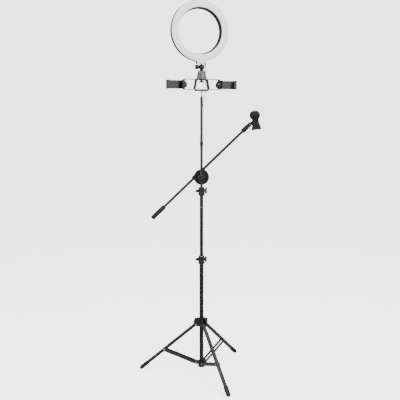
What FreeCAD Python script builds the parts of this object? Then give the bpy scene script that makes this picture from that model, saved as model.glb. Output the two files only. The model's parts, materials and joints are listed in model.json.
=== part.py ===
import FreeCAD, Part
import math
import os

from FreeCAD import Placement, Rotation, Vector

# Ring light on a folding tripod stand, with a boom arm and two phone holders.
# Millimetres. +Z is up, +X to the right and +Y to the back as the light faces forward.
# The origin is on the floor, on the axis of the mast.

# ---------------------------------------------------------------- driving sizes
LOWER_TUBE_OD = 19.0
MIDDLE_TUBE_OD = 16.0
UPPER_TUBE_OD = 12.0
TUBE_WALL = 1.2
RUN = 0.05  # radial clearance of a running fit
LOWER_TUBE_Z = (26.0, 528.0)
MIDDLE_TUBE_Z = (290.0, 843.0)
UPPER_TUBE_Z = (610.0, 1270.0)
COLLAR_HEIGHT = 38.0
LOWER_COLLAR_Z = 517.0
UPPER_COLLAR_Z = 832.0
KNOB_TURN = -25.0  # azimuth of the collar knobs' screws
KNOB_RISE = 24.0  # height of the knobs' screws above the collar's foot

LEG_NAMES = ("left", "rear", "front")
LEG_AZIMUTHS = (173.75, 53.75, 293.75)
LEG_PIVOT = (25.0, 231.0)  # radius and height of the pivot on the runner
FOOT_POINT = (285.0, 7.6)  # radius and height of the centre of the foot's end
BRACE_LOW = (25.0, 45.0)  # radius and height of the pivot on the lower hub
BRACE_SHARE = 0.579  # where the brace meets the leg, as a share of its length
LEG_SIDE = 14.0
FOOT_HALF = 8.2  # half the side of the foot's cap, and the radius of its end
LUG_HALF = 8.2
STRIP_INSIDE = 8.5  # from the leg's middle plane to the inner face of a strip
STRIP_THICK = 1.6
STRIP_WIDTH = 14.0
PIN_D = 5.0

CLUTCH_Z = 913.5
DISC_D = 69.0
FRONT_DISC_Y = (14.0, 23.0)
REAR_DISC_Y = (23.3, 31.0)
HUB_D = 30.0
BOOM_ANGLE = 44.0
BOOM_OFFSET = 19.0  # from the clutch's centre to the rod's axis, across the rod
BOOM_Y = 41.0
ROD_D = 12.0
ROD_ALONG = (-262.0, 292.0)
CLIP_WAIST = Vector(243.5, BOOM_Y, 1161.0)
CLIP_LEAN = -8.0
KNUCKLE_R = 9.0
STEM_WIDTH = 15.0

HEAD_YAW = 19.0
RING_ROLL = -3.5
BALL_Z = 1404.0
RING_CENTRE_Z = 1553.0
RING_OD = 260.0
HOLE_FRONT_D = 200.0
HOLE_REAR_D = 189.0
RING_DEPTH = 24.0
WALL = 2.0
CHIP_COUNT = 60
NECK_HALF = 23.0
NECK_Z = (1415.0, 1440.0)
FRONT_Y, REAR_Y = -RING_DEPTH / 2, RING_DEPTH / 2
GLAND_X = 17.8
GLAND_TIP = 2.4  # radius of the gland's round tip, whose centre is on the tilt axis
SCREW_AZIMUTHS = [30 + 60 * i for i in range(6)]
SCREW_RADIUS = 112.0

BRACKET_Z = (1302.0, 1348.0)
BRACKET_HALF = 83.0
BRACKET_DEPTH = 30.0
STRIP = 2.0
HOLDER_Z = 1324.0
HOLDER_END = 159.0

CORD_D = 2.5
CONTROLLER_Z = (1118.0, 1190.0)
HANK_Z = (1030.0, 1100.0)
PLUG_TOP = 1012.0
CORD_Y = 17.0
RING_CORD_ROUTE = [
    (16.9, 5.9, 1402.4),
    (17.3, 9.5, 1388.0),
    (17.6, 22.0, 1368.0),
    (17.2, 29.0, 1340.0),
    (16.6, 29.0, 1300.0),
    (11.5, 24.5, 1264.0),
    (6.0, 19.0, 1229.0),
    (1.0, 17.3, 1207.0),
    (0.0, 17.0, 1190.0),
]

HEAD = Placement(Vector(0, 0, 0), Rotation(Vector(0, 0, 1), HEAD_YAW))
ROLL = Placement(Vector(0, 0, 0), Rotation(Vector(0, 1, 0), RING_ROLL), Vector(0, 0, BALL_Z))
RING = HEAD.multiply(ROLL)
BOOM = Placement(Vector(0, BOOM_Y, CLUTCH_Z), Rotation(Vector(0, 1, 0), -BOOM_ANGLE))
CLIP = Placement(CLIP_WAIST, Rotation(Vector(0, 1, 0), CLIP_LEAN))

os.makedirs("parts", exist_ok=True)


# ---------------------------------------------------------------- helpers
def save(name, *solids):
    """Write one node, made of one or more separate solids."""
    shape = solids[0] if len(solids) == 1 else Part.makeCompound(list(solids))
    shape.exportStep(f"parts/{name}.step")
    print(f"{name}: {len(shape.Solids)} solid(s), {shape.Volume / 1000:.2f} cm3")


def rod(diameter, start, end):
    """A round bar between two points."""
    way = end.sub(start)
    return Part.makeCylinder(diameter / 2, way.Length, start, way)


def upright(diameter, low, high, x=0.0, y=0.0):
    """A vertical round bar."""
    return rod(diameter, Vector(x, y, low), Vector(x, y, high))


def tube(outer, inner, low, high):
    """A vertical tube on the mast axis."""
    return upright(outer, low, high).cut(upright(inner, low - 1, high + 1))


def block(x, y, z):
    """A box from its three (low, high) pairs."""
    size = [high - low for low, high in (x, y, z)]
    return Part.makeBox(*size, Vector(x[0], y[0], z[0]))


def outline(points, depth):
    """A plate: an outline of (x, z) points extruded from y = depth[0] to depth[1]."""
    corners = [Vector(x, depth[0], z) for x, z in points]
    face = Part.Face(Part.makePolygon(corners + corners[:1]))
    return face.extrude(Vector(0, depth[1] - depth[0], 0))


def turned(points, angle=360):
    """A solid of revolution about Z from (radius, height) points."""
    corners = [Vector(r, 0, z) for r, z in points]
    face = Part.Face(Part.makePolygon(corners + corners[:1]))
    return face.revolve(Vector(0, 0, 0), Vector(0, 0, 1), angle)


def placed(shape, placement):
    """A copy of a shape carried by a placement, after the shape's own."""
    copy = shape.copy()
    copy.Placement = placement.multiply(copy.Placement)
    return copy


def mirrored(shape):
    """The same piece for the left side."""
    return shape.mirror(Vector(0, 0, 0), Vector(1, 0, 0))


def turned_to(azimuth):
    return Placement(Vector(0, 0, 0), Rotation(Vector(0, 0, 1), azimuth))


def plate_with_round_ends(start, end, width, y):
    """A strip between two (x, z) points, with half-round ends, from y[0] to y[1]."""
    a, b = Vector(start[0], y[0], start[1]), Vector(end[0], y[0], end[1])
    deep = Vector(0, y[1] - y[0], 0)
    way = b.sub(a).normalize()
    side = Vector(-way.z, 0, way.x).multiply(width / 2)
    corners = [a.add(side), b.add(side), b.sub(side), a.sub(side)]
    bar = Part.Face(Part.makePolygon(corners + corners[:1])).extrude(deep)
    ends = [Part.makeCylinder(width / 2, deep.Length, p, deep) for p in (a, b)]
    return bar.fuse(ends).removeSplitter()


def smooth_tube(points, diameter):
    """A cord: straight runs joined by tangent arcs, swept with a round section."""
    edges, radii, at = [], [], points[0]
    for before, corner, after in zip(points, points[1:], points[2:]):
        come, go = corner.sub(before), after.sub(corner)
        back = 0.45 * min(come.Length, go.Length)
        half = come.getAngle(go) / 2
        radii.append(back / math.tan(half))
        come.normalize()
        go.normalize()
        start, end = corner.sub(come * back), corner.add(go * back)
        bend = radii[-1] * (1 / math.cos(half) - 1)
        middle = corner.add(go.sub(come).normalize() * bend)
        edges.append(Part.LineSegment(at, start).toShape())
        edges.append(Part.Arc(start, middle, end).toShape())
        at = end
    edges.append(Part.LineSegment(at, points[-1]).toShape())
    path = Part.Wire(edges)
    section = Part.Wire(Part.makeCircle(diameter / 2, points[0], points[1].sub(points[0])))
    solid = path.makePipeShell([section], True, False)
    expected = math.pi * diameter**2 / 4 * path.Length
    print(f"cord: {path.Length:.0f} mm, smallest radius {min(radii or [0]):.0f} mm,"
          f" volume {solid.Volume / expected:.4f} of section times length")
    return solid


# ---------------------------------------------------------------- tripod
def lower_hub():
    """The fixed hub: a plug in the tube's foot with a lug for each pair of strips."""
    body = upright(31, 25, 36).fuse(upright(29, 36, 54))
    for azimuth in LEG_AZIMUTHS:
        lug = plate_with_round_ends((10, BRACE_LOW[1]), BRACE_LOW, 14, (-LUG_HALF, LUG_HALF))
        lug = lug.cut(rod(PIN_D, Vector(BRACE_LOW[0], -20, BRACE_LOW[1]),
                          Vector(BRACE_LOW[0], 20, BRACE_LOW[1])))
        body = body.fuse(placed(lug, turned_to(azimuth)))
    return body.cut(upright(LOWER_TUBE_OD, 26, 60))


def runner_hub():
    """The sliding hub: a sleeve with a pair of ears for each leg."""
    sleeve = upright(28, 221, 261)
    radius, height = LEG_PIVOT
    gap = LEG_SIDE / 2 + 0.4
    for azimuth in LEG_AZIMUTHS:
        for low in (gap, -gap - 3):
            ear = outline([(8, 222), (28, 222), (35, 228), (35, 250), (31, 256), (8, 258)],
                          (low, low + 3))
            sleeve = sleeve.fuse(placed(ear, turned_to(azimuth)))
        hole = rod(PIN_D, Vector(radius, -20, height), Vector(radius, 20, height))
        sleeve = sleeve.cut(placed(hole, turned_to(azimuth)))
    return sleeve.cut(upright(LOWER_TUBE_OD + 2 * RUN, 200, 300)).removeSplitter()


def hinge_pins(radius, height, half_length):
    """The three pins of a hub, each with a low head at both ends."""
    pins = []
    for azimuth in LEG_AZIMUTHS:
        pin = rod(PIN_D, Vector(radius, -half_length, height), Vector(radius, half_length, height))
        for y in (-half_length - 1.5, half_length):
            pin = pin.fuse(rod(8.5, Vector(radius, y, height), Vector(radius, y + 1.5, height)))
        pins.append(placed(pin, turned_to(azimuth)))
    return pins


def leg_axis():
    start = Vector(LEG_PIVOT[0], 0, LEG_PIVOT[1])
    return start, Vector(FOOT_POINT[0], 0, FOOT_POINT[1]).sub(start)


def along_leg(shape):
    """Carry a shape drawn along +X from the pivot onto the leg's line."""
    start, way = leg_axis()
    tilt = math.degrees(math.atan2(-way.z, way.x))
    return placed(shape, Placement(start, Rotation(Vector(0, 1, 0), tilt)))


def leg():
    """A square tube with a rounded, drilled head at the pivot."""
    length = leg_axis()[1].Length
    half = LEG_SIDE / 2
    body = block((0, length - 16), (-half, half), (-half, half))
    edges = [e for e in body.Edges if e.Length > length / 2]
    body = body.makeFillet(2.2, edges)
    head = Part.makeCylinder(half, LEG_SIDE, Vector(0, -half, 0), Vector(0, 1, 0))
    inner = half - TUBE_WALL
    hollow = block((9, length), (-inner, inner), (-inner, inner))
    hole = rod(PIN_D + 2 * RUN, Vector(0, -20, 0), Vector(0, 20, 0))
    return along_leg(body.fuse(head).cut(hollow).cut(hole).removeSplitter())


def foot():
    """A square rubber cap with a round end, ground flat where it stands."""
    length = leg_axis()[1].Length
    half = FOOT_HALF
    cap = block((length - 38, length), (-half, half), (-half, half))
    end = Part.makeCylinder(half, 2 * half, Vector(length, -half, 0), Vector(0, 1, 0))
    cap = cap.fuse(end).removeSplitter()
    on_side = [e for e in cap.Edges if abs(abs(e.CenterOfMass.y) - half) < 0.01]
    rims = [e for e in on_side if e.BoundBox.XMax > length - 37]
    cap = cap.makeFillet(2.2, rims)
    tenon = block((length - 60, length - 16), (-7, 7), (-7, 7))
    tenon = tenon.makeFillet(2.2, [e for e in tenon.Edges if e.Length > 40])
    cap = along_leg(cap.cut(tenon))
    return cap.cut(block((0, 400), (-50, 50), (-20, 0))).removeSplitter()


def brace():
    """Two flat strips, one on each side of the leg and of the hub's lug."""
    start, way = leg_axis()
    top = start.add(way * BRACE_SHARE)
    strips = []
    for low in (STRIP_INSIDE, -STRIP_INSIDE - STRIP_THICK):
        strip = plate_with_round_ends(BRACE_LOW, (top.x, top.z), STRIP_WIDTH, (low, low + STRIP_THICK))
        hole = rod(PIN_D + 2 * RUN, Vector(BRACE_LOW[0], -20, BRACE_LOW[1]),
                   Vector(BRACE_LOW[0], 20, BRACE_LOW[1]))
        strips.append(strip.cut(hole))
    return strips


def make_tripod():
    save("lower_hub", lower_hub())
    save("runner_hub", runner_hub())
    save("brace_pins", *hinge_pins(*BRACE_LOW, STRIP_INSIDE + STRIP_THICK + 0.2))
    save("leg_pins", *hinge_pins(*LEG_PIVOT, LEG_SIDE / 2 + 3.4))
    for name, azimuth in zip(LEG_NAMES, LEG_AZIMUTHS):
        turn = turned_to(azimuth)
        save(f"leg_{name}", placed(leg(), turn))
        save(f"foot_{name}", placed(foot(), turn))
        save(f"brace_{name}", *[placed(strip, turn) for strip in brace()])


# ---------------------------------------------------------------- mast
def collar(low, outer_tube, inner_tube):
    """A clamp collar: it sits on the end of one tube and guides the next."""
    high = low + COLLAR_HEIGHT
    seat = low + 11.0
    body = turned([(0, low), (12.5, low), (14, low + 2), (14, low + 15), (12.6, low + 17),
                   (13.6, low + 19), (13.6, high - 3), (12.0, high), (0, high)])
    z = low + KNOB_RISE - 4
    ear = outline([(-9, z + 9), (-21, z + 7), (-27, z + 3), (-27, z - 3), (-21, z - 5), (-9, z - 6)],
                  (-4, 4))
    boss = rod(12, Vector(9, 0, low + KNOB_RISE), Vector(16, 0, low + KNOB_RISE))
    body = body.fuse(ear).fuse(placed(boss, turned_to(KNOB_TURN)))
    body = body.cut(upright(outer_tube, low - 1, seat)).cut(upright(inner_tube + 2 * RUN, low - 1, high + 1))
    hole = rod(5 + 2 * RUN, Vector(0, 0, low + KNOB_RISE), Vector(30, 0, low + KNOB_RISE))
    return body.cut(placed(hole, turned_to(KNOB_TURN)))


def wing_knob(low, inner_tube):
    """A wing knob moulded on its screw, whose tip presses on the inner tube."""
    z = low + KNOB_RISE
    screw = rod(5, Vector(inner_tube / 2 + 0.3, 0, z), Vector(20, 0, z))
    hub = rod(10, Vector(16.4, 0, z), Vector(25, 0, z))
    wings = plate_with_round_ends((0, -8.0), (0, 8.0), 11, (-3, 3))
    wings = placed(wings, Placement(Vector(22, 0, z), Rotation(Vector(0, 0, 1), 90)))
    return placed(screw.fuse([hub, wings]).removeSplitter(), turned_to(KNOB_TURN))


def make_mast():
    lower_bore = LOWER_TUBE_OD - 2 * TUBE_WALL
    middle_bore = MIDDLE_TUBE_OD - 2 * TUBE_WALL
    save("lower_tube", tube(LOWER_TUBE_OD, lower_bore, *LOWER_TUBE_Z))
    save("middle_tube", tube(MIDDLE_TUBE_OD, middle_bore, *MIDDLE_TUBE_Z))
    top = UPPER_TUBE_Z[1]
    upper = tube(UPPER_TUBE_OD, UPPER_TUBE_OD - 2 * TUBE_WALL, *UPPER_TUBE_Z)
    save("upper_tube", upper)
    save("lower_collar", collar(LOWER_COLLAR_Z, LOWER_TUBE_OD, MIDDLE_TUBE_OD))
    save("upper_collar", collar(UPPER_COLLAR_Z, MIDDLE_TUBE_OD, UPPER_TUBE_OD))
    save("lower_wing_knob", wing_knob(LOWER_COLLAR_Z, MIDDLE_TUBE_OD))
    save("upper_wing_knob", wing_knob(UPPER_COLLAR_Z, UPPER_TUBE_OD))
    bore = UPPER_TUBE_OD - 2 * TUBE_WALL
    stud = upright(bore, top - 20, top).fuse(turned([(0, top), (6, top), (4.2, top + 3), (0, top + 3)]))
    save("mast_stud", stud.fuse(upright(6.3, top, BRACKET_Z[0] - 0.5)).removeSplitter())


# ---------------------------------------------------------------- boom arm
def across(diameter, y, x=0.0, z=CLUTCH_Z):
    """A round bar along Y through the clutch, or beside it."""
    return rod(diameter, Vector(x, y[0], z), Vector(x, y[1], z))


def clamp_hub():
    """The casting that turns on the mast sleeve, with the front clutch disc."""
    hub = across(HUB_D, (-10, 15))
    nose = Part.makeCone(HUB_D / 2, HUB_D / 2 - 4, 3, Vector(0, -10, CLUTCH_Z), Vector(0, -1, 0))
    disc = across(DISC_D, FRONT_DISC_Y)
    disc = disc.makeFillet(2.5, [disc.Edges[0]])
    body = hub.fuse([nose, disc])
    body = body.cut(upright(UPPER_TUBE_OD + 4 + 2 * RUN, 880, 950))
    return body.cut(across(8, (10, 40))).removeSplitter()


def rod_sleeve():
    """The rear clutch disc with the sleeve that holds the boom rod."""
    disc = across(DISC_D, REAR_DISC_Y)
    holder = block((-34, 34), (-10.2, 9.5), (BOOM_OFFSET - 10, BOOM_OFFSET + 10))
    holder = holder.makeFillet(3, [e for e in holder.Edges if e.Length > 60])
    boss = across(20, (REAR_DISC_Y[1], 50.8))
    body = disc.fuse([placed(holder, BOOM), boss]).cut(across(8 + 2 * RUN, (0, 80)))
    hole = rod(ROD_D + 2 * RUN, Vector(-60, 0, BOOM_OFFSET), Vector(60, 0, BOOM_OFFSET))
    return body.cut(placed(hole, BOOM)).removeSplitter()


def clutch_knob():
    """A five-lobed knob with the clutch's nut in it."""
    knob = across(30, (51.3, 65))
    for i in range(5):
        a = math.radians(72 * i + 18)
        knob = knob.fuse(across(13, (52.8, 65), 14 * math.cos(a), CLUTCH_Z + 14 * math.sin(a)))
    knob = knob.fuse(across(20, (65, 68)))
    return knob.cut(across(8 + 2 * RUN, (50, 63))).removeSplitter()


def boom_ferrule():
    """The rod's end fitting, with a fork for the clip's stem."""
    end = ROD_ALONG[1]
    body = rod(21, Vector(end - 18, 0, 0), Vector(end + 13, 0, 0))
    fork = block((end + 8, end + 28), (-9, 9), (-KNUCKLE_R, KNUCKLE_R))
    round_end = Part.makeCylinder(KNUCKLE_R, 18, Vector(end + 28, -9, 0), Vector(0, 1, 0))
    gap = block((end + 15, end + 60), (-4.2, 4.2), (-30, 30))
    bore = rod(ROD_D, Vector(end - 30, 0, 0), Vector(end, 0, 0))
    pin = rod(5, Vector(end + 28, -30, 0), Vector(end + 28, 30, 0))
    body = body.fuse([fork, round_end]).cut(gap).cut(bore).cut(pin).removeSplitter()
    return placed(body, Placement(Vector(0, 0, BOOM_OFFSET), Rotation()))


def knuckle_point():
    return BOOM.multVec(Vector(ROD_ALONG[1] + 28, 0, BOOM_OFFSET))


def clip_stem():
    """The tongue in the ferrule's fork and the barrel that both jaws turn on."""
    k, w = knuckle_point(), CLIP_WAIST
    tongue = Part.makeCylinder(KNUCKLE_R, 7.8, Vector(k.x, k.y - 3.9, k.z), Vector(0, 1, 0))
    arm = plate_with_round_ends((k.x, k.z), (w.x - 8, w.z), STEM_WIDTH, (BOOM_Y - 2.5, BOOM_Y + 2.5))
    hole = rod(5 + 2 * RUN, Vector(k.x, k.y - 20, k.z), Vector(k.x, k.y + 20, k.z))
    barrel = placed(rod(9, Vector(-9, 0, 0), Vector(9, 0, 0)), CLIP)
    pin = placed(rod(4, Vector(-14, 0, 0), Vector(14, 0, 0)), CLIP)
    return tongue.fuse(arm).cut(hole).fuse([barrel, pin]).removeSplitter()


def clip_profile(side):
    """The side view of a jaw as a bent strip: mouth, waist and finger plate."""
    thick = 3.0
    middle = [(7.2, -35), (12.5, -35), (7.5, -6), (7.5, 6), (16.5, 17), (18.5, 29), (14.5, 46), (5.5, 52.5)]
    outer = middle[1:]
    inner = [(y - thick, z) for y, z in outer[::-1]]
    inner[0] = (outer[-1][0] - 1.0, outer[-1][1] - thick)
    return [(side * y, z) for y, z in outer + inner]


def clip_jaw(side):
    """One jaw: the bent strip trimmed to a round mouth, a waist and a flared plate."""
    points = clip_profile(side)
    corners = [Vector(-30, y, z) for y, z in points]
    strip = Part.Face(Part.makePolygon(corners + corners[:1])).extrude(Vector(60, 0, 0))
    front = Part.makeCylinder(22.5, 80, Vector(0, -40, 30), Vector(0, 1, 0))
    half = [(15, 14), (14.3, 2), (15, -6), (22.5, -36)]
    lower = outline([(-x, z) for x, z in half] + half[::-1], (-40, 40))
    jaw = strip.common(front.fuse(lower))
    inside = 9.2 if side < 0 else 10.7
    for x in (inside, -inside - 1.4):
        ear = rod(7.6, Vector(x, 0, 0), Vector(x + 1.4, 0, 0))
        web = block((x, x + 1.4), (0, 6) if side > 0 else (-6, 0), (-3.8, 3.8))
        jaw = jaw.fuse([ear, web])
    jaw = jaw.cut(rod(9.6, Vector(-9.1, 0, 0), Vector(9.1, 0, 0)))
    jaw = jaw.cut(rod(4 + 2 * RUN, Vector(-40, 0, 0), Vector(40, 0, 0)))
    jaw = jaw.cut(block((-30, -2.8), (-3.9, 3.9), (-14, 6)))
    return placed(jaw.removeSplitter(), CLIP)


def make_boom():
    sleeve_id, sleeve_od = UPPER_TUBE_OD + 2 * RUN, UPPER_TUBE_OD + 4
    low, high = CLUTCH_Z - HUB_D / 2 - 3, CLUTCH_Z + HUB_D / 2 + 3
    sleeve = tube(sleeve_od, sleeve_id, low, high)
    for z in (low, high - 2):
        sleeve = sleeve.fuse(tube(sleeve_od + 5, sleeve_id, z, z + 2))
    save("mast_sleeve", sleeve.removeSplitter())
    save("clamp_hub", clamp_hub())
    save("rod_sleeve", rod_sleeve())
    save("clutch_bolt", across(8, (10, 62)))
    save("clutch_knob", clutch_knob())
    start, end = ROD_ALONG
    bar = rod(ROD_D, Vector(start, 0, BOOM_OFFSET), Vector(end, 0, BOOM_OFFSET))
    bore = rod(ROD_D - 2, Vector(start - 1, 0, BOOM_OFFSET), Vector(end + 1, 0, BOOM_OFFSET))
    save("boom_rod", placed(bar.cut(bore), BOOM))
    grip = turned([(0, -34), (9, -34), (10.4, -31), (10.4, 34), (9.4, 44), (7.0, 46), (0, 46)])
    grip = placed(grip, Placement(Vector(start, 0, BOOM_OFFSET), Rotation(Vector(0, 1, 0), 90)))
    grip = placed(grip, BOOM)
    save("boom_grip", grip.cut(placed(bar, BOOM)))
    save("boom_ferrule", placed(boom_ferrule(), BOOM))
    k = knuckle_point()
    save("knuckle_pin", rod(5, Vector(k.x, k.y - 10.5, k.z), Vector(k.x, k.y + 10.5, k.z)))
    save("clip_stem", clip_stem())
    save("clip_front_jaw", clip_jaw(-1))
    save("clip_rear_jaw", clip_jaw(1))


# ---------------------------------------------------------------- phone bracket
def bracket_loop():
    """The long flat loop of strip that carries both phone holders."""
    low, high = BRACKET_Z
    half, deep = BRACKET_HALF, BRACKET_DEPTH / 2
    outer = block((-half, half), (-deep, deep), (low, high))
    inner = block((-half + STRIP, half - STRIP), (-deep, deep), (low + STRIP, high - STRIP))
    outer = outer.makeFillet(5, [e for e in outer.Edges if abs(e.Length - BRACKET_DEPTH) < 0.1])
    inner = inner.makeFillet(3, [e for e in inner.Edges if abs(e.Length - BRACKET_DEPTH) < 0.1])
    loop = outer.cut(inner)
    loop = loop.cut(upright(10.2, high - 5, high + 5))
    return loop.cut(rod(6.1, Vector(-100, 0, HOLDER_Z), Vector(100, 0, HOLDER_Z)))


def bracket_stirrup():
    """The bent strip inside the loop, which stiffens its middle."""
    top, low = BRACKET_Z[1] - STRIP, BRACKET_Z[0] + STRIP
    thick = 2.5
    body = outline([(-26.5, top), (26.5, top), (34, low), (34 - thick, low), (26.5 - thick, top - thick),
                    (-26.5 + thick, top - thick), (-34 + thick, low), (-34, low)], (-14, 14))
    return body.cut(upright(10.2, top - 5, top + 5))


def holder_body():
    """A phone holder's fixed jaw and back plate, with a pocket for the sliding jaw."""
    low, high = HOLDER_Z - 19, HOLDER_Z + 19
    jaw = block((87, 91.5), (-22, 12), (low, high))
    jaw = jaw.makeFillet(2, [e for e in jaw.Edges if abs(e.Length - 4.5) < 0.1])
    back = block((90, 148), (2, 12), (low + 1, high - 1))
    lip = block((90, 94), (-22, -18), (low + 3, high - 3))
    body = jaw.fuse([back, lip])
    for i in range(7):
        z = low + 6.2 + i * 4.3
        body = body.cut(block((94, 146), (1, 2.8), (z - 0.9, z + 0.9)))
    body = body.cut(block((98, 160), (5, 9.6), (HOLDER_Z - 12.05, HOLDER_Z + 12.05)))
    return body.cut(rod(6.1, Vector(80, 0, HOLDER_Z), Vector(95, 0, HOLDER_Z))).removeSplitter()


def holder_slider():
    """The outer jaw and the tongue that slides in the holder's pocket."""
    low, high = HOLDER_Z - 19, HOLDER_Z + 19
    end = HOLDER_END
    jaw = block((end - 7, end), (-22, 12), (low, high))
    jaw = jaw.makeFillet(2.5, [e for e in jaw.Edges if abs(e.Length - 7) < 0.1])
    tongue = block((112, end - 3), (5.1, 9.5), (HOLDER_Z - 12, HOLDER_Z + 12))
    lip = block((end - 11, end - 5), (-22, -18), (low + 3, high - 3))
    return jaw.fuse([tongue, lip]).removeSplitter()


def holder_knob():
    """The domed knob inside the loop, moulded on the holder's pivot screw."""
    dome = Part.makeSphere(17.5, Vector(84.2, 0, HOLDER_Z))
    dome = dome.common(rod(28, Vector(60, 0, HOLDER_Z), Vector(80.6, 0, HOLDER_Z)))
    return dome.fuse(rod(6, Vector(78, 0, HOLDER_Z), Vector(91, 0, HOLDER_Z))).removeSplitter()


def make_bracket():
    save("bracket_loop", placed(bracket_loop(), HEAD))
    save("bracket_stirrup", placed(bracket_stirrup(), HEAD))
    low = BRACKET_Z[0]
    plate = block((-28.5, 28.5), (-15, 15), (low - 6, low))
    plate = plate.makeFillet(4, [e for e in plate.Edges if abs(e.Length - 6) < 0.1])
    save("socket_plate", placed(plate.cut(upright(6.3 + 2 * RUN, low - 10, low + 5)), HEAD))
    washer = rod(27, Vector(83, 0, HOLDER_Z), Vector(87, 0, HOLDER_Z))
    washer = washer.cut(rod(6.1, Vector(80, 0, HOLDER_Z), Vector(95, 0, HOLDER_Z)))
    save("holder_washers", placed(washer, HEAD), placed(mirrored(washer), HEAD))
    holder = {"knob": holder_knob(), "body": holder_body(), "slider": holder_slider()}
    for piece, shape in holder.items():
        save(f"right_holder_{piece}", placed(shape, HEAD))
        save(f"left_holder_{piece}", placed(mirrored(shape), HEAD))


# ---------------------------------------------------------------- head
def head_screw():
    """The mushroom screw under the loop's top, which holds the riser."""
    top = BRACKET_Z[1] - STRIP - 2.5
    screw = upright(23, top - 10, top - 5).fuse(upright(10, top - 5, BRACKET_Z[1]))
    return screw.fuse(upright(6, BRACKET_Z[1], BRACKET_Z[1] + 15)).removeSplitter()


def riser():
    """The cone between the bracket and the ball socket."""
    low = BRACKET_Z[1]
    cone = turned([(0, low), (22.5, low), (22.5, low + 1.5), (16, low + 34), (15, low + 35), (0, low + 35)])
    return cone.cut(upright(6, low, low + 16))


def ball_socket():
    """The socket that grips the ball, with a cone-shaped mouth for the stem."""
    body = turned([(0, 1383), (8.8, 1383), (8.8, 1392), (13, 1394.5), (13, 1406), (9.2, 1410), (0, 1410)])
    boss = rod(11, Vector(-8, 0, BALL_Z - 4), Vector(-15, 0, BALL_Z - 4))
    body = body.fuse(boss).cut(Part.makeSphere(8 + RUN, Vector(0, 0, BALL_Z)))
    flare = 4.1 + 8 * math.tan(math.radians(31))
    mouth = turned([(0, BALL_Z), (4.1, BALL_Z), (flare, BALL_Z + 8), (0, BALL_Z + 8)])
    body = body.cut(mouth)
    return body.cut(rod(5.1, Vector(-30, 0, BALL_Z - 4), Vector(-4, 0, BALL_Z - 4)))


def socket_knob():
    """The knob that locks the ball, moulded on its screw."""
    z = BALL_Z - 4
    knob = rod(20, Vector(-15.4, 0, z), Vector(-28, 0, z))
    knob = knob.makeFillet(2.0, [knob.Edges[0], knob.Edges[2]])
    for i in range(10):
        a = math.radians(36 * i)
        y, dz = 10.8 * math.cos(a), 10.8 * math.sin(a)
        knob = knob.cut(rod(3, Vector(-14, y, z + dz), Vector(-30, y, z + dz)))
    return knob.fuse(rod(5, Vector(-8.6, 0, z), Vector(-16, 0, z))).removeSplitter()


def make_head():
    save("head_screw", placed(head_screw(), HEAD))
    save("riser", placed(riser(), HEAD))
    save("ball_socket", placed(ball_socket(), HEAD))
    save("socket_knob", placed(socket_knob(), HEAD))
    ball = Part.makeSphere(8, Vector(0, 0, BALL_Z))
    ball = ball.fuse([upright(7, BALL_Z, 1414), upright(6, 1414, 1427)]).removeSplitter()
    save("ball_stud", placed(ball, RING))


# ---------------------------------------------------------------- ring lamp
def about_ring_axis(points):
    """Revolve (radius, y) points about the ring's own axis, which lies along Y."""
    shape = turned(points)
    return placed(shape, Placement(Vector(0, 0, RING_CENTRE_Z), Rotation(Vector(1, 0, 0), -90)))


def neck(x_half, y, z):
    """The block under the ring, cut off where the ring's hole begins."""
    return block((-x_half, x_half), y, z)


def ring_housing():
    """The rear shell: an annular tray with a hollow neck at the bottom."""
    outer, front, rear = RING_OD / 2, HOLE_FRONT_D / 2, HOLE_REAR_D / 2
    solid = about_ring_axis([(front, FRONT_Y), (outer, FRONT_Y), (outer, REAR_Y - 3), (outer - 3, REAR_Y),
                             (rear, REAR_Y)])
    hollow = about_ring_axis([(front + WALL, FRONT_Y - 1), (outer - WALL, FRONT_Y - 1),
                              (outer - WALL, REAR_Y - WALL - 1), (outer - WALL - 2, REAR_Y - WALL),
                              (rear + WALL, REAR_Y - WALL)])
    block_out = neck(NECK_HALF, (FRONT_Y, REAR_Y - 2), NECK_Z)
    block_out = block_out.makeFillet(3, [e for e in block_out.Edges if abs(e.Length - RING_DEPTH + 2) < 0.1])
    block_in = neck(NECK_HALF - WALL, (FRONT_Y - 1, REAR_Y - 4), (NECK_Z[0] + 3, 1450))
    body = solid.fuse(block_out).cut(hollow)
    body = body.cut(block_in.cut(about_ring_axis([(0, FRONT_Y - 2), (front + WALL, FRONT_Y - 2),
                                                  (rear + WALL, REAR_Y), (0, REAR_Y)])))
    post = upright(14, NECK_Z[0], NECK_Z[0] + 13.5)
    rib = about_ring_axis([(116, 6), (118, 6), (118, REAR_Y - 1), (116, REAR_Y - 1)])
    body = body.fuse([post, rib]).cut(upright(6, NECK_Z[0] - 1, NECK_Z[0] + 12.1))
    body = body.cut(upright(5, NECK_Z[0] - 1, NECK_Z[0] + 5, GLAND_X))
    for azimuth in SCREW_AZIMUTHS:
        body = body.cut(screw_at(azimuth, 3.2, REAR_Y - 4, REAR_Y + 1))
    return body.removeSplitter()


def screw_at(azimuth, diameter, start, end):
    a = math.radians(azimuth)
    x, z = SCREW_RADIUS * math.cos(a), RING_CENTRE_Z + SCREW_RADIUS * math.sin(a)
    return rod(diameter, Vector(x, start, z), Vector(x, end, z))


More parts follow.
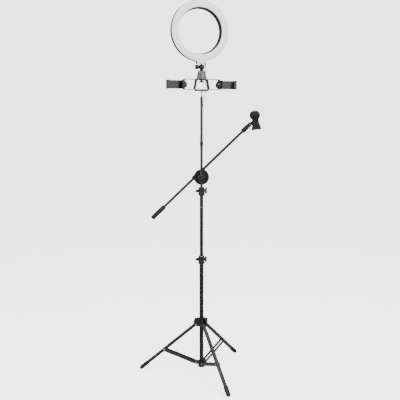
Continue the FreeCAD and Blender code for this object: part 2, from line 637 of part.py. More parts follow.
def ring_diffuser():
    """The white front: a shallow dished cover with a tab over the neck."""
    outer, front = RING_OD / 2, HOLE_FRONT_D / 2
    cover = about_ring_axis([(front, FRONT_Y), (front, FRONT_Y - 0.8), (front + 1.5, FRONT_Y - 2.2),
                             (front + 14, FRONT_Y - 3.4), (outer - 14, FRONT_Y - 3.4),
                             (outer - 2.2, FRONT_Y - 2.2), (outer - 0.8, FRONT_Y - 0.8),
                             (outer - 0.8, FRONT_Y)])
    hollow = about_ring_axis([(front + WALL + 2, FRONT_Y + 1), (front + WALL + 2, FRONT_Y - 0.6),
                              (front + 15, FRONT_Y - 1.6), (outer - 15, FRONT_Y - 1.6),
                              (outer - WALL - 2, FRONT_Y - 0.6), (outer - WALL - 2, FRONT_Y + 1)])
    lip = about_ring_axis([(front + WALL + 0.1, FRONT_Y), (front + WALL + 2, FRONT_Y),
                           (front + WALL + 2, FRONT_Y + 3), (front + WALL + 0.1, FRONT_Y + 3)])
    tab = neck(NECK_HALF, (FRONT_Y - 2.2, FRONT_Y), (NECK_Z[0], NECK_Z[0] + 14))
    tab = tab.makeFillet(3, [e for e in tab.Edges if abs(e.Length - 2.2) < 0.1 and e.Vertexes[0].Z < 1420])
    tab = tab.cut(Part.makeCylinder(outer - 3, 60, Vector(0, -30, RING_CENTRE_Z), Vector(0, 1, 0)))
    return cover.cut(hollow).fuse([lip, tab]).removeSplitter()


def led_chips():
    """Two rows of chips, alternating, on the LED board."""
    chips = []
    for i in range(CHIP_COUNT):
        radius = 109.5 if i % 2 else 119.5
        chip = block((-1.6, 1.6), (3.6, 4.4), (radius - 1.6, radius + 1.6))
        turn = Placement(Vector(0, 0, RING_CENTRE_Z), Rotation(Vector(0, 1, 0), 360.0 * i / CHIP_COUNT))
        chips.append(placed(chip, RING.multiply(turn)))
    return chips


def make_ring():
    save("ring_housing", placed(ring_housing(), RING))
    save("ring_diffuser", placed(ring_diffuser(), RING))
    board = about_ring_axis([(103, 4.4), (124, 4.4), (124, 6), (103, 6)])
    save("led_board", placed(board, RING))
    save("led_chips", *led_chips())
    screws = []
    for azimuth in SCREW_AZIMUTHS:
        screws.append(placed(screw_at(azimuth, 6.4, REAR_Y, REAR_Y + 1.8).fuse(
            screw_at(azimuth, 3.2, REAR_Y - 4, REAR_Y)).removeSplitter(), RING))
    save("housing_screws", *screws)
    gland = turned([(0, BALL_Z), (GLAND_TIP, BALL_Z), (3.1, 1413), (4.6, 1413), (4.6, NECK_Z[0]),
                    (2.5, NECK_Z[0]), (2.5, NECK_Z[0] + 4), (0, NECK_Z[0] + 4)])
    gland = gland.fuse(Part.makeSphere(GLAND_TIP, Vector(0, 0, BALL_Z)))
    gland = placed(gland, Placement(Vector(GLAND_X, 0, 0), Rotation()))
    save("cable_gland", placed(gland, RING))


# ---------------------------------------------------------------- lead
def make_lead():
    save("ring_cord", smooth_tube([Vector(*p) for p in RING_CORD_ROUTE], CORD_D))
    low, high = CONTROLLER_Z
    shell = block((-5.5, 5.5), (CORD_Y - 10, CORD_Y + 10), (low + 8, high - 8))
    shell = shell.makeFillet(2.5, shell.Edges)
    necks = upright(6, low, high, 0, CORD_Y)
    save("controller", shell.fuse(necks).removeSplitter())
    lead_in = upright(CORD_D, HANK_Z[1], low, 0, CORD_Y)
    lead_out = upright(CORD_D, PLUG_TOP, HANK_Z[0], 0, CORD_Y)
    save("usb_cord", lead_in, lead_out)
    hank = block((-6.5, 6.5), (CORD_Y - 9.9, CORD_Y + 10.1), HANK_Z)
    hank = hank.makeFillet(9.5, [e for e in hank.Edges if abs(e.Length - 13) < 0.1])
    save("usb_hank", hank)
    top = PLUG_TOP
    plug = block((-4, 4), (CORD_Y - 7.9, CORD_Y + 7.9), (top - 24, top))
    plug = plug.makeFillet(2.0, [e for e in plug.Edges if e.Length > 20])
    contact = block((-2.25, 2.25), (CORD_Y - 6, CORD_Y + 6), (top - 43, top - 24))
    save("usb_plug", plug, contact)
    middle = sum(HANK_Z) / 2
    outer = block((-7.5, 7.5), (-7.1, CORD_Y + 11.2), (middle - 8, middle + 8))
    inner = block((-6.7, 6.7), (-6.3, CORD_Y + 10.4), (middle - 9, middle + 9))
    outer = outer.makeFillet(1.4, [e for e in outer.Edges if abs(e.Length - 16) < 0.1])
    inner = inner.makeFillet(0.6, [e for e in inner.Edges if abs(e.Length - 18) < 0.1])
    save("cord_tie", outer.cut(inner))


make_tripod()
make_mast()
make_boom()
make_bracket()
make_head()
make_ring()
make_lead()
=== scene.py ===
# %% [markdown]
# # A ring light on a folding tripod stand
#
# The light has a white ring lamp on a ball joint, a flat bracket with two phone
# holders, a boom arm with a microphone clip and a three-part mast on a folding
# tripod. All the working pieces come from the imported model, called the frame
# here. This script loads the frame, makes what the frame leaves plain, gives
# every piece its finish, and sets up the floor, the lamps and the camera.

import json
import math

import bpy
from mathutils import Matrix, Vector


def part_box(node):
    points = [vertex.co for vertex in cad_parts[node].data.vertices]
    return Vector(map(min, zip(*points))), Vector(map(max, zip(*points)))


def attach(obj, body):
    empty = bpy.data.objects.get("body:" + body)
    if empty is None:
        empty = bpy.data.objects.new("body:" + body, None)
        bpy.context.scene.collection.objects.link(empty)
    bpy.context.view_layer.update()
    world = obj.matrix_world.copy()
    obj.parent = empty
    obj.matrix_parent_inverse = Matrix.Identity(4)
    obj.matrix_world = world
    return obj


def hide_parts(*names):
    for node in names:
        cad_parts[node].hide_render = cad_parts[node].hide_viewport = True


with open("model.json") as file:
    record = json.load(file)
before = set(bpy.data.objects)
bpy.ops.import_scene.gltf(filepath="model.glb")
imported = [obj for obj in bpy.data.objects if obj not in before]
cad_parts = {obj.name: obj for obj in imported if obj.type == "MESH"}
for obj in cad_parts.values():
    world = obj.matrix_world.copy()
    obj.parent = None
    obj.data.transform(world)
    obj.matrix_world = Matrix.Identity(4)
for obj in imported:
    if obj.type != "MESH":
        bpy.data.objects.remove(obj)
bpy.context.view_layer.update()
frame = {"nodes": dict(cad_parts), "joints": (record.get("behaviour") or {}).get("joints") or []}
nodes = frame["nodes"]
MM = 0.001

# %% [markdown]
# ## Building a finish
#
# A finish that is one flat colour looks like clay, because real paint, plastic
# and steel all change a little from place to place. Each finish below starts
# from one Principled shader, whose fixed values sit on its own sockets, and
# adds noise on Object coordinates. The frame's objects sit at the origin, so
# those coordinates are metres on the real object and the grain keeps its size.

# %% Helpers for finishes
def new_finish(name, colour, roughness, metallic=0.0):
    """A Principled shader with its fixed values on its own sockets."""
    finish = bpy.data.materials.new(name)
    finish.use_nodes = True
    shader = finish.node_tree.nodes["Principled BSDF"]
    shader.inputs["Base Color"].default_value = (*colour, 1.0)
    shader.inputs["Roughness"].default_value = roughness
    shader.inputs["Metallic"].default_value = metallic
    return finish, shader


def noise_on(finish, scale, detail=4.0, stretch=(1.0, 1.0, 1.0)):
    """Noise on Object coordinates, drawn out where stretch is small."""
    tree = finish.node_tree
    place = tree.nodes.new("ShaderNodeTexCoord")
    mapping = tree.nodes.new("ShaderNodeMapping")
    mapping.inputs["Scale"].default_value = stretch
    noise = tree.nodes.new("ShaderNodeTexNoise")
    noise.inputs["Scale"].default_value = scale
    noise.inputs["Detail"].default_value = detail
    tree.links.new(place.outputs["Object"], mapping.inputs["Vector"])
    tree.links.new(mapping.outputs["Vector"], noise.inputs["Vector"])
    return noise.outputs["Fac"]


def colour_between(finish, shader, factor, dark, light, low=0.35, high=0.65):
    """The colour runs from dark to light as the factor goes from low to high."""
    ramp = finish.node_tree.nodes.new("ShaderNodeValToRGB")
    ramp.color_ramp.elements[0].position = low
    ramp.color_ramp.elements[0].color = (*dark, 1.0)
    ramp.color_ramp.elements[1].position = high
    ramp.color_ramp.elements[1].color = (*light, 1.0)
    finish.node_tree.links.new(factor, ramp.inputs["Fac"])
    finish.node_tree.links.new(ramp.outputs["Color"], shader.inputs["Base Color"])


def roughness_between(finish, shader, factor, smooth, rough):
    spread = finish.node_tree.nodes.new("ShaderNodeMapRange")
    spread.inputs["From Min"].default_value = 0.3
    spread.inputs["From Max"].default_value = 0.7
    spread.inputs["To Min"].default_value = smooth
    spread.inputs["To Max"].default_value = rough
    finish.node_tree.links.new(factor, spread.inputs["Value"])
    finish.node_tree.links.new(spread.outputs["Result"], shader.inputs["Roughness"])


def bump_from(finish, shader, factor, height, strength=0.5):
    """Raise the surface by the factor; height is in metres."""
    bump = finish.node_tree.nodes.new("ShaderNodeBump")
    bump.inputs["Strength"].default_value = strength
    bump.inputs["Distance"].default_value = height
    finish.node_tree.links.new(factor, bump.inputs["Height"])
    finish.node_tree.links.new(bump.outputs["Normal"], shader.inputs["Normal"])


# %% [markdown]
# ## Powder paint, drawn tube and moulded plastic
#
# Nearly everything on the stand is black, so the finishes have to differ in
# gloss and grain. The mast's tubes are drawn lengthwise and carry fine streaks
# along Z. Powder paint on the legs has orange peel. Moulded plastic has a fine
# spark-eroded grain, and the phone holders are a shade lighter.

# %% Black finishes
def tube_paint(name, dark, light, metallic, pattern=None):
    """Drawn tube: streaks along Z in colour and gloss, or a pattern of its own in colour."""
    finish, shader = new_finish(name, light, 0.3, metallic)
    streaks = noise_on(finish, 900.0, 3.0, (1.0, 1.0, 0.015))
    colour_between(finish, shader, pattern(finish) if pattern else streaks, dark, light)
    roughness_between(finish, shader, streaks, 0.24, 0.40)
    bump_from(finish, shader, noise_on(finish, 1500.0), 0.00004)
    shader.inputs["Coat Weight"].default_value = 0.3
    shader.inputs["Coat Roughness"].default_value = 0.2
    return finish


def powder_paint(name, dark, light, smooth, rough, metallic=0.0):
    """Baked powder paint: orange peel, and cloudy changes of gloss."""
    finish, shader = new_finish(name, light, rough, metallic)
    colour_between(finish, shader, noise_on(finish, 60.0), dark, light)
    roughness_between(finish, shader, noise_on(finish, 140.0, 2.0), smooth, rough)
    bump_from(finish, shader, noise_on(finish, 1100.0, 2.0), 0.00008, 0.6)
    return finish


def moulded(name, dark, light, smooth, rough, grain=2600.0, height=0.00006):
    """Injection-moulded plastic with a fine grain."""
    finish, shader = new_finish(name, light, rough)
    colour_between(finish, shader, noise_on(finish, 35.0), dark, light)
    roughness_between(finish, shader, noise_on(finish, 220.0), smooth, rough)
    bump_from(finish, shader, noise_on(finish, grain, 6.0), height, 0.5)
    return finish


TUBE = tube_paint("drawn tube, black", (0.006, 0.006, 0.006), (0.016, 0.016, 0.017), 0.2)
# Upper tube, boom rod and sleeve: a lighter colour, partly their own grey tone and partly painted sheen in
# place of reflections.
GREY_TUBE_AND_PAINTED_SHEEN = tube_paint("drawn tube, grey with painted sheen", (0.025, 0.025, 0.026), (0.060, 0.060, 0.061), 0.6)
LEG_PAINT = powder_paint("leg paint", (0.022, 0.022, 0.022), (0.046, 0.046, 0.047), 0.28, 0.42, 0.2)
STRIP_PAINT = powder_paint("brace paint", (0.018, 0.018, 0.018), (0.040, 0.040, 0.041), 0.30, 0.48)
BRACKET_BLACK = powder_paint("bracket black", (0.008, 0.008, 0.008), (0.018, 0.018, 0.019), 0.34, 0.50)
BLACK = moulded("moulded black", (0.006, 0.006, 0.006), (0.016, 0.016, 0.017), 0.38, 0.58)
SHELL = moulded("lamp shell", (0.006, 0.006, 0.006), (0.013, 0.013, 0.014), 0.36, 0.54, 3400.0)
GLOSS = moulded("clip gloss", (0.006, 0.006, 0.006), (0.015, 0.015, 0.016), 0.22, 0.36, 1200.0, 0.00003)
# Knobs and buttons: a lighter grey as painted sheen, standing in for the small highlights on dark knobs.
KNOB_PAINTED_SHEEN = moulded("knob", (0.020, 0.020, 0.021), (0.045, 0.045, 0.046), 0.34, 0.50)
print("black finishes:", len(bpy.data.materials))

# %% [markdown]
# ## Finishes that change along a piece
#
# A phone holder is black where it meets the bracket and dark grey further out.
# The lead's plug has a bright contact below its shell, and the middle tube has
# a bright line that marks how far it may be drawn out. Each is one piece, so
# its finish changes where a coordinate passes a set value.

# %% Finishes that change with distance
OUTWARDS, UPWARDS = (1, 1, 0), (0, 0, 1)
HOLDER_BLACK_TO = 103 * MM
PLUG_SHELL_FROM = 988 * MM
MARK_EDGES = (778.5 * MM, 780.5 * MM)


def beyond(finish, axes, edge):
    """1 where the distance along the chosen axes is more than edge, else 0."""
    tree = finish.node_tree
    place, keep, measure, step = (tree.nodes.new(kind) for kind in (
        "ShaderNodeTexCoord", "ShaderNodeVectorMath", "ShaderNodeVectorMath", "ShaderNodeMath"))
    keep.operation, measure.operation, step.operation = "MULTIPLY", "LENGTH", "GREATER_THAN"
    keep.inputs[1].default_value = axes
    step.inputs[1].default_value = edge
    tree.links.new(place.outputs["Object"], keep.inputs[0])
    tree.links.new(keep.outputs["Vector"], measure.inputs[0])
    tree.links.new(measure.outputs["Value"], step.inputs[0])
    return step.outputs["Value"]


def phone_holder():
    """Black near the mast's axis, dark grey beyond."""
    finish, shader = new_finish("phone holder", (0.04, 0.04, 0.04), 0.5)
    colour_between(finish, shader, beyond(finish, OUTWARDS, HOLDER_BLACK_TO), (0.006, 0.006, 0.006),
                   (0.050, 0.050, 0.051))
    roughness_between(finish, shader, noise_on(finish, 220.0), 0.42, 0.60)
    bump_from(finish, shader, noise_on(finish, 2600.0, 6.0), 0.00006)
    return finish


def lead_plug():
    """Grey plastic above, bright metal below."""
    finish, shader = new_finish("lead plug", (0.2, 0.2, 0.2), 0.4)
    shell = beyond(finish, UPWARDS, PLUG_SHELL_FROM)
    colour_between(finish, shader, shell, (0.62, 0.62, 0.63), (0.10, 0.10, 0.10))
    metal = finish.node_tree.nodes.new("ShaderNodeMath")
    metal.operation = "SUBTRACT"
    metal.inputs[0].default_value = 1.0
    finish.node_tree.links.new(shell, metal.inputs[1])
    finish.node_tree.links.new(metal.outputs["Value"], shader.inputs["Metallic"])
    roughness_between(finish, shader, noise_on(finish, 300.0), 0.30, 0.45)
    return finish


def line_on_tube(finish):
    """1 on a line round the tube, else 0."""
    band = finish.node_tree.nodes.new("ShaderNodeMath")
    band.operation = "SUBTRACT"
    for socket, edge in zip(band.inputs, MARK_EDGES):
        finish.node_tree.links.new(beyond(finish, UPWARDS, edge), socket)
    return band.outputs["Value"]


HOLDER, PLUG = phone_holder(), lead_plug()
MARKED_TUBE = tube_paint("drawn tube with a line", (0.011, 0.011, 0.011), (0.42, 0.42, 0.43), 0.2, line_on_tube)
print("finishes that change:", HOLDER.name, "and", PLUG.name, "and", MARKED_TUBE.name)

# %% [markdown]
# ## Rubber, bright metal, the diffuser and the lead
#
# Rubber has no gloss and a dusty bloom. The riser is a spun silver cone whose
# rings run round it, so its streaks are drawn out across the axis. The lamp's
# front is milk-white acrylic, which lets a little light into its depth. A faint
# painted glow on it brightens the white face as light falling on it would.

# %% Other finishes
def rubber():
    finish, shader = new_finish("rubber", (0.022, 0.022, 0.022), 0.8)
    colour_between(finish, shader, noise_on(finish, 90.0, 8.0), (0.007, 0.007, 0.007), (0.022, 0.022, 0.022))
    roughness_between(finish, shader, noise_on(finish, 300.0), 0.62, 0.85)
    bump_from(finish, shader, noise_on(finish, 2000.0, 8.0), 0.00012, 0.7)
    return finish


def bright_metal(name, dark, light, smooth, rough, stretch):
    """Turned or drawn metal with its streaks along the long way of the stretch."""
    finish, shader = new_finish(name, light, rough, 1.0)
    streaks = noise_on(finish, 1400.0, 3.0, stretch)
    colour_between(finish, shader, streaks, dark, light)
    roughness_between(finish, shader, streaks, smooth, rough)
    bump_from(finish, shader, streaks, 0.00003, 0.4)
    return finish


def satin_silver():
    finish, shader = new_finish("satin silver paint", (0.16, 0.16, 0.163), 0.4, 0.35)
    rings = noise_on(finish, 1100.0, 2.0, (0.03, 0.03, 1.0))
    colour_between(finish, shader, rings, (0.11, 0.11, 0.112), (0.20, 0.20, 0.203))
    roughness_between(finish, shader, rings, 0.34, 0.48)
    bump_from(finish, shader, noise_on(finish, 1800.0), 0.00003)
    return finish


def milk_acrylic_painted_glow():
    finish, shader = new_finish("milk acrylic with painted glow", (0.86, 0.86, 0.86), 0.35)
    colour_between(finish, shader, noise_on(finish, 18.0, 2.0), (0.83, 0.83, 0.835), (0.89, 0.89, 0.885))
    roughness_between(finish, shader, noise_on(finish, 260.0), 0.30, 0.42)
    bump_from(finish, shader, noise_on(finish, 1400.0), 0.00003, 0.3)
    # Painted glow: a faint emission that brightens the white face in place of light falling on it.
    shader.inputs["Emission Color"].default_value = (1.0, 1.0, 1.0, 1.0)
    shader.inputs["Emission Strength"].default_value = 0.75
    shader.inputs["Subsurface Weight"].default_value = 0.12
    shader.inputs["Subsurface Radius"].default_value = (0.004, 0.004, 0.004)
    return finish


RUBBER = rubber()
ZINC = bright_metal("zinc plate", (0.48, 0.48, 0.49), (0.74, 0.74, 0.75), 0.22, 0.38, (1.0, 1.0, 0.05))
STRIP_METAL = powder_paint("loop paint", (0.020, 0.020, 0.021), (0.045, 0.045, 0.046), 0.26, 0.42, 0.3)
SILVER = satin_silver()
ACRYLIC_PAINTED_GLOW = milk_acrylic_painted_glow()
BOARD = moulded("board lacquer", (0.78, 0.78, 0.75), (0.88, 0.88, 0.85), 0.28, 0.40)
CHIP = moulded("lamp chips", (0.80, 0.66, 0.20), (0.93, 0.84, 0.42), 0.20, 0.32)
LEAD = moulded("lead sheath", (0.07, 0.07, 0.07), (0.12, 0.12, 0.12), 0.40, 0.55, 1800.0)
print("all finishes:", len(bpy.data.materials))

# %% [markdown]
# ## Finishing the frame's own pieces
#
# A piece whose shape is right stays as the frame has it, and only its finish
# changes. The table below pairs each finish with the pieces that wear it.

# %% Put the finishes on
WEARS = {
    TUBE: ["lower_tube"],
    MARKED_TUBE: ["middle_tube"],
    GREY_TUBE_AND_PAINTED_SHEEN: ["upper_tube", "boom_rod", "mast_sleeve"],
    LEG_PAINT: ["leg_left", "leg_rear", "leg_front"],
    STRIP_PAINT: ["brace_left", "brace_rear", "brace_front"],
    BRACKET_BLACK: ["bracket_stirrup", "socket_plate", "head_screw", "housing_screws"],
    BLACK: ["lower_hub", "runner_hub", "lower_collar", "upper_collar",
            "clamp_hub", "rod_sleeve", "clutch_knob", "ball_socket", "socket_knob",
            "cable_gland", "controller", "boom_ferrule", "cord_tie"],
    SHELL: ["ring_housing"],
    HOLDER: ["left_holder_body", "right_holder_body", "left_holder_slider", "right_holder_slider"],
    KNOB_PAINTED_SHEEN: ["left_holder_knob", "right_holder_knob", "lower_wing_knob", "upper_wing_knob"],
    GLOSS: ["clip_stem", "clip_front_jaw", "clip_rear_jaw"],
    RUBBER: ["foot_left", "foot_rear", "foot_front", "boom_grip", "holder_washers"],
    ZINC: ["brace_pins", "leg_pins", "mast_stud", "clutch_bolt", "knuckle_pin"],
    STRIP_METAL: ["bracket_loop"],
    SILVER: ["riser", "ball_stud"],
    ACRYLIC_PAINTED_GLOW: ["ring_diffuser"],
    BOARD: ["led_board"],
    CHIP: ["led_chips"],
    LEAD: ["ring_cord", "usb_cord", "usb_hank"],
    PLUG: ["usb_plug"],
}
for finish, names in WEARS.items():
    for name in names:
        piece = nodes[name]
        piece.data.materials.clear()
        piece.data.materials.append(finish)
finished = {name for names in WEARS.values() for name in names}
print("pieces without a finish:", sorted(set(nodes) - finished))

# %% [markdown]
# ## A small kit for Geometry Nodes
#
# Ribs, rivets and buttons repeat, so a node tree makes them: a row of points
# carries one small shape. Changing the count or the spacing changes them all.
# The result is then turned into a plain mesh, because a finished piece keeps
# its place in its mesh, as the frame's own pieces do.

# %% A row of one shape, made by nodes
def row_tree(name, make_shape, sizes):
    """A tree that sets a shape on a row of points along Z. make_shape builds the shape's nodes."""
    tree = bpy.data.node_groups.new(name, "GeometryNodeTree")
    tree.interface.new_socket("Geometry", in_out="OUTPUT", socket_type="NodeSocketGeometry")
    for label, kind in (("Count", "NodeSocketInt"), ("Spacing", "NodeSocketFloat"),
                        *((size, "NodeSocketFloat") for size in sizes), ("Finish", "NodeSocketMaterial")):
        tree.interface.new_socket(label, in_out="INPUT", socket_type=kind)
    new, link = tree.nodes.new, tree.links.new
    given, result = new("NodeGroupInput"), new("NodeGroupOutput")
    step = new("ShaderNodeCombineXYZ")
    link(given.outputs["Spacing"], step.inputs["Z"])
    row = new("GeometryNodeMeshLine")
    link(given.outputs["Count"], row.inputs["Count"])
    link(step.outputs["Vector"], row.inputs["Offset"])
    shape = make_shape(tree, given)
    carry, whole, paint = (new("GeometryNodeInstanceOnPoints"), new("GeometryNodeRealizeInstances"),
                           new("GeometryNodeSetMaterial"))
    link(row.outputs["Mesh"], carry.inputs["Points"])
    link(shape, carry.inputs["Instance"])
    link(carry.outputs["Instances"], whole.inputs["Geometry"])
    link(whole.outputs["Geometry"], paint.inputs["Geometry"])
    link(given.outputs["Finish"], paint.inputs["Material"])
    link(paint.outputs["Geometry"], result.inputs["Geometry"])
    return tree


def torus_shape(tree, given):
    """A ring of radius Radius round Z, with a round section of radius Thickness."""
    new, link = tree.nodes.new, tree.links.new
    path, section, sweep = (new("GeometryNodeCurvePrimitiveCircle"), new("GeometryNodeCurvePrimitiveCircle"),
                            new("GeometryNodeCurveToMesh"))
    path.inputs["Resolution"].default_value = 40
    section.inputs["Resolution"].default_value = 8
    link(given.outputs["Radius"], path.inputs["Radius"])
    link(given.outputs["Thickness"], section.inputs["Radius"])
    link(path.outputs["Curve"], sweep.inputs["Curve"])
    link(section.outputs["Curve"], sweep.inputs["Profile Curve"])
    return sweep.outputs["Mesh"]


def dome_shape(tree, given):
    """A flattened ball: radius Radius, and half as high as Thickness says."""
    new, link = tree.nodes.new, tree.links.new
    ball, flatten, squeeze = (new("GeometryNodeMeshUVSphere"), new("GeometryNodeTransform"),
                              new("ShaderNodeCombineXYZ"))
    ball.inputs["Segments"].default_value = 20
    ball.inputs["Rings"].default_value = 10
    ball.inputs["Radius"].default_value = 1.0
    link(given.outputs["Radius"], squeeze.inputs["X"])
    link(given.outputs["Radius"], squeeze.inputs["Y"])
    link(given.outputs["Thickness"], squeeze.inputs["Z"])
    link(ball.outputs["Mesh"], flatten.inputs["Geometry"])
    link(squeeze.outputs["Vector"], flatten.inputs["Scale"])
    return flatten.outputs["Geometry"]


RINGS = row_tree("row of rings", torus_shape, ("Radius", "Thickness"))
DOMES = row_tree("row of domes", dome_shape, ("Radius", "Thickness"))


def row_of(name, tree, body, place, finish, **values):
    """A plain mesh of the row, placed by a matrix and riding on a body."""
    holder = bpy.data.objects.new(name + " row", bpy.data.meshes.new(name + " row"))
    bpy.context.scene.collection.objects.link(holder)
    modifier = holder.modifiers.new("row", "NODES")
    modifier.node_group = tree
    for item in tree.interface.items_tree:
        if item.in_out == "INPUT":
            modifier[item.identifier] = finish if item.name == "Finish" else values[item.name.lower()]
    seen = holder.evaluated_get(bpy.context.evaluated_depsgraph_get())
    mesh = bpy.data.meshes.new_from_object(seen)
    bpy.data.objects.remove(holder)
    mesh.transform(place)
    mesh.polygons.foreach_set("use_smooth", [True] * len(mesh.polygons))
    piece = bpy.data.objects.new(name, mesh)
    bpy.context.scene.collection.objects.link(piece)
    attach(piece, body)
    print(name, len(mesh.polygons), "faces")
    return piece


def facing(point, direction):
    """A matrix that carries Z onto a direction at a point, both in metres."""
    turn = Vector(direction).to_track_quat("Z", "Y").to_matrix().to_4x4()
    return Matrix.Translation(point) @ turn


# %% [markdown]
# ## Ribs on the boom's grip
#
# The lower end of the boom wears a rubber sleeve with shallow ribs, so that a
# hand doesn't slip. The ribs are thin rings along the boom's own line, which
# the boom's slide gives, centred on the grip's box.

# %% The grip's ribs
joints = {joint["name"]: joint for joint in frame["joints"]}
BOOM_WAY = Vector(joints["boom_slide"]["axis"]).normalized()
grip_low, grip_high = (Vector(corner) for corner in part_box("boom_grip"))
grip_middle = (grip_low + grip_high) / 2
RIB_COUNT, RIB_SPACING, RIB_SHIFT = 12, 5.0 * MM, 6.0 * MM
first_rib = grip_middle - BOOM_WAY * (RIB_SPACING * (RIB_COUNT - 1) / 2 + RIB_SHIFT)
row_of("grip_ribs", RINGS, "boom", facing(first_rib, BOOM_WAY), RUBBER,
       count=RIB_COUNT, spacing=RIB_SPACING, radius=10.2 * MM, thickness=0.8 * MM)

# %% [markdown]
# ## Rivets where the braces meet the legs
#
# Each brace is two strips with a leg between them, and one rivet holds all
# three. The domed heads catch the light and show as bright dots. They ride
# with the brace, whose far pivot they mark.

# %% The brace rivets
LEG_AZIMUTHS = {name: math.atan2(joints[f"leg_{name}_fold"]["pos_m"][1], joints[f"leg_{name}_fold"]["pos_m"][0])
                for name in ("left", "rear", "front")}
RIVET_RADIUS, RIVET_HEIGHT = 175.54 * MM, 101.65 * MM  # where a brace meets its leg
RIVET_HALF = 10.2 * MM  # from the leg's middle to the outside of a strip
for name, azimuth in LEG_AZIMUTHS.items():
    across = Vector((-math.sin(azimuth), math.cos(azimuth), 0.0))
    centre = Vector((RIVET_RADIUS * math.cos(azimuth), RIVET_RADIUS * math.sin(azimuth), RIVET_HEIGHT))
    row_of(f"rivets_{name}", DOMES, f"brace_{name}", facing(centre - across * RIVET_HALF, across), ZINC,
           count=2, spacing=2 * RIVET_HALF, radius=4.2 * MM, thickness=1.5 * MM)

# %% [markdown]
# ## The lower collar's bright rim
#
# A plated ring closes the top of the lower collar, where the middle tube
# enters. One ring of the same row tree makes it.

# %% The collar's rim
collar_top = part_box("lower_collar")[1][2]
row_of("collar_rim", RINGS, "root", Matrix.Translation((0, 0, collar_top - 1.2 * MM)), ZINC,
       count=1, spacing=0.0, radius=12.2 * MM, thickness=0.9 * MM)

# %% [markdown]
# ## Buttons on the lead's controller
#
# A small box on the lead switches the lamp and sets its brightness and colour.
# Its buttons are domes in a row, with no marks on them.

# %% The controller's buttons
box_low, box_high = (Vector(corner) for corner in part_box("controller"))
BUTTON_GAP = 11.0 * MM
button_start = Vector((box_high.x, (box_low.y + box_high.y) / 2, (box_low.z + box_high.z) / 2 - 2 * BUTTON_GAP))
row_of("controller_buttons", DOMES, "head", Matrix.Translation(button_start), KNOB_PAINTED_SHEEN,
       count=5, spacing=BUTTON_GAP, radius=0.6 * MM, thickness=3.4 * MM)

# %% [markdown]
# ## The lead
#
# A thin flexible lead leaves the lamp's gland, bends under its own weight and
# hangs behind the mast, where the controller is on it. The spare length below
# the controller is folded into a neat hank with a tie round it. A cord is one
# NURBS curve with a round bevel: it has no kinks.

# %% The cord maker
CORD_DIAMETER = 2.5 * MM


def cord_curve(name, points, finish):
    """A round cord along a NURBS curve through its end points, given in millimetres."""
    curve = bpy.data.curves.new(name, "CURVE")
    curve.dimensions = "3D"
    curve.bevel_depth = CORD_DIAMETER / 2
    curve.bevel_resolution = 4
    curve.resolution_u = 8
    curve.use_fill_caps = True
    line = curve.splines.new("NURBS")
    line.points.add(len(points) - 1)
    for point, (x, y, z) in zip(line.points, points):
        point.co = (x * MM, y * MM, z * MM, 1.0)
    line.order_u = 3
    line.use_endpoint_u = True
    curve.materials.append(finish)
    piece = bpy.data.objects.new(name, curve)
    bpy.context.scene.collection.objects.link(piece)
    return piece


# %% The lamp's cord
LAMP_CORD = [
    (16.9, 5.9, 1402.4), (17.3, 9.5, 1388.0), (17.6, 22.0, 1368.0), (17.2, 29.0, 1340.0), (16.6, 29.0, 1300.0),
    (11.5, 24.5, 1264.0), (6.0, 19.0, 1229.0), (1.0, 17.3, 1207.0), (0.0, 17.0, 1190.0),
]
lamp_cord = cord_curve("lamp_cord", LAMP_CORD, LEAD)
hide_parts("ring_cord")
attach(lamp_cord, "head")

# %% [markdown]
# ## The hank
#
# Spare lead is put away in long turns that lie side by side. Down the back,
# round the bottom fold, up the front and round the top fold makes one turn,
# and each turn sits one cord's width further along. The points follow that
# rule, so the hank's width and length come from a few sizes.

# %% Spare lead folded in a hank
TURNS, TURN_GAP = 4, 2.6
FOLD_RADIUS, HANK_MIDDLE_Y = 8.75, 17.1
FOLD_HEIGHTS = (1040.0, 1090.0)
FOLD_STEPS = 6


def fold(x_start, x_end, z, first_angle):
    """Points of a half turn, from first_angle on by half a circle, in millimetres."""
    points = []
    for i in range(FOLD_STEPS + 1):
        share = i / FOLD_STEPS
        angle = first_angle - math.pi * share
        points.append((x_start + (x_end - x_start) * share, HANK_MIDDLE_Y + FOLD_RADIUS * math.cos(angle),
                       z + FOLD_RADIUS * math.sin(angle)))
    return points


def hank_points():
    back = HANK_MIDDLE_Y + FOLD_RADIUS
    x = -TURN_GAP * TURNS / 2
    low, high = FOLD_HEIGHTS
    points = [(0, 17, 1118), (-0.6, 17.2, 1112), (-4.2, 20.6, 1106), (x, 25.0, 1099),
              (x, back, 1091), (x, back, 1066)]
    for _ in range(TURNS):
        points += fold(x, x + TURN_GAP / 2, low, 0.0)
        points.append((x + TURN_GAP / 2, HANK_MIDDLE_Y - FOLD_RADIUS, (low + high) / 2))
        points += fold(x + TURN_GAP / 2, x + TURN_GAP, high, math.pi)
        x += TURN_GAP
        points.append((x, back, (low + high) / 2))
    return points + [(x, back, 1040), (4.6, 24.6, 1031), (1.2, 18.4, 1023), (0, 17.0, 1017), (0, 17, 1012)]


HANK = hank_points()
usb_lead = cord_curve("usb_lead", HANK, LEAD)
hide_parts("usb_cord", "usb_hank")
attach(usb_lead, "head")

# %% [markdown]
# ## Floor, lamps and camera
#
# The stand is seen in a white studio, with a pale floor and a round white wall
# that show no seam. Both glow a little, and the stand's pieces don't see that
# glow, so they stay dark with clear highlights from three large lamps. The
# camera stands at chest height and looks slightly down.

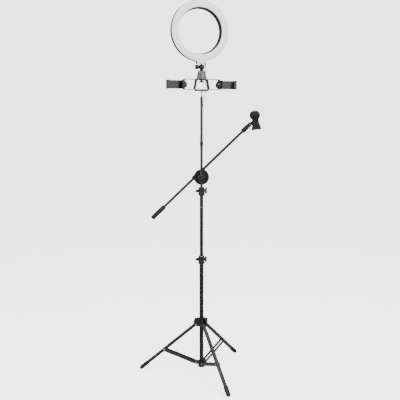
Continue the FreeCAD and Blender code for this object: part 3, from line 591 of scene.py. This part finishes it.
# %% The studio
floor_mesh = bpy.data.meshes.new("floor")
HALF_FLOOR = 30.0
GLOW, WORLD_LIGHT = 2.8, 0.45
floor_mesh.from_pydata([(-HALF_FLOOR, -HALF_FLOOR, 0), (HALF_FLOOR, -HALF_FLOOR, 0),
                        (HALF_FLOOR, HALF_FLOOR, 0), (-HALF_FLOOR, HALF_FLOOR, 0)], [], [(0, 1, 2, 3)])
floor = bpy.data.objects.new("floor", floor_mesh)
bpy.context.scene.collection.objects.link(floor)
floor_finish, floor_shader = new_finish("studio floor", (0.93, 0.93, 0.93), 0.9)
floor_shader.inputs["Specular IOR Level"].default_value = 0.1
floor_shader.inputs["Emission Color"].default_value = (1.0, 1.0, 1.0, 1.0)
floor_shader.inputs["Emission Strength"].default_value = GLOW
floor_mesh.materials.append(floor_finish)

backdrop_mesh = bpy.data.meshes.new("backdrop")
WALL_RADIUS, WALL_TOP, SIDES = 28.0, 30.0, 48
ring = [(WALL_RADIUS * math.cos(math.tau * i / SIDES), WALL_RADIUS * math.sin(math.tau * i / SIDES))
        for i in range(SIDES)]
backdrop_mesh.from_pydata([(x, y, -1.0) for x, y in ring] + [(x, y, WALL_TOP) for x, y in ring], [],
                          [(i, i + SIDES, (i + 1) % SIDES + SIDES, (i + 1) % SIDES) for i in range(SIDES)])
backdrop = bpy.data.objects.new("backdrop", backdrop_mesh)
bpy.context.scene.collection.objects.link(backdrop)
backdrop_finish, backdrop_shader = new_finish("studio backdrop", (0.93, 0.93, 0.93), 0.9)
backdrop_shader.inputs["Emission Color"].default_value = (1.0, 1.0, 1.0, 1.0)
backdrop_shader.inputs["Emission Strength"].default_value = GLOW
backdrop_mesh.materials.append(backdrop_finish)
for part in (floor, backdrop):
    part.visible_diffuse = False
    part.visible_glossy = False

world = bpy.data.worlds.new("studio white")
world.use_nodes = True
world.node_tree.nodes["Background"].inputs["Color"].default_value = (1.0, 1.0, 1.0, 1.0)
world.node_tree.nodes["Background"].inputs["Strength"].default_value = WORLD_LIGHT
bpy.context.scene.world = world


def area_lamp(name, place, aim, width, height, power):
    light = bpy.data.lights.new(name, "AREA")
    light.shape = "RECTANGLE"
    light.size, light.size_y, light.energy = width, height, power
    lamp = bpy.data.objects.new(name, light)
    lamp.location = place
    lamp.rotation_euler = (Vector(aim) - Vector(place)).to_track_quat("-Z", "Y").to_euler()
    bpy.context.scene.collection.objects.link(lamp)


area_lamp("key", (2.2, -2.4, 2.6), (0, 0, 0.9), 1.2, 2.2, 110)
area_lamp("fill", (-2.6, -1.6, 1.6), (0, 0, 0.9), 0.8, 2.4, 45)
area_lamp("top", (0.0, 0.3, 4.2), (0, 0, 0.5), 3.0, 3.0, 110)

camera = bpy.data.objects.new("camera", bpy.data.cameras.new("camera"))
camera.data.lens = 55.33
camera.data.sensor_width = 36.0
camera.location = (-0.0067, -2.748, 1.198)
camera.rotation_euler = (math.radians(82.0), 0.0, 0.0)
bpy.context.scene.collection.objects.link(camera)
bpy.context.scene.camera = camera
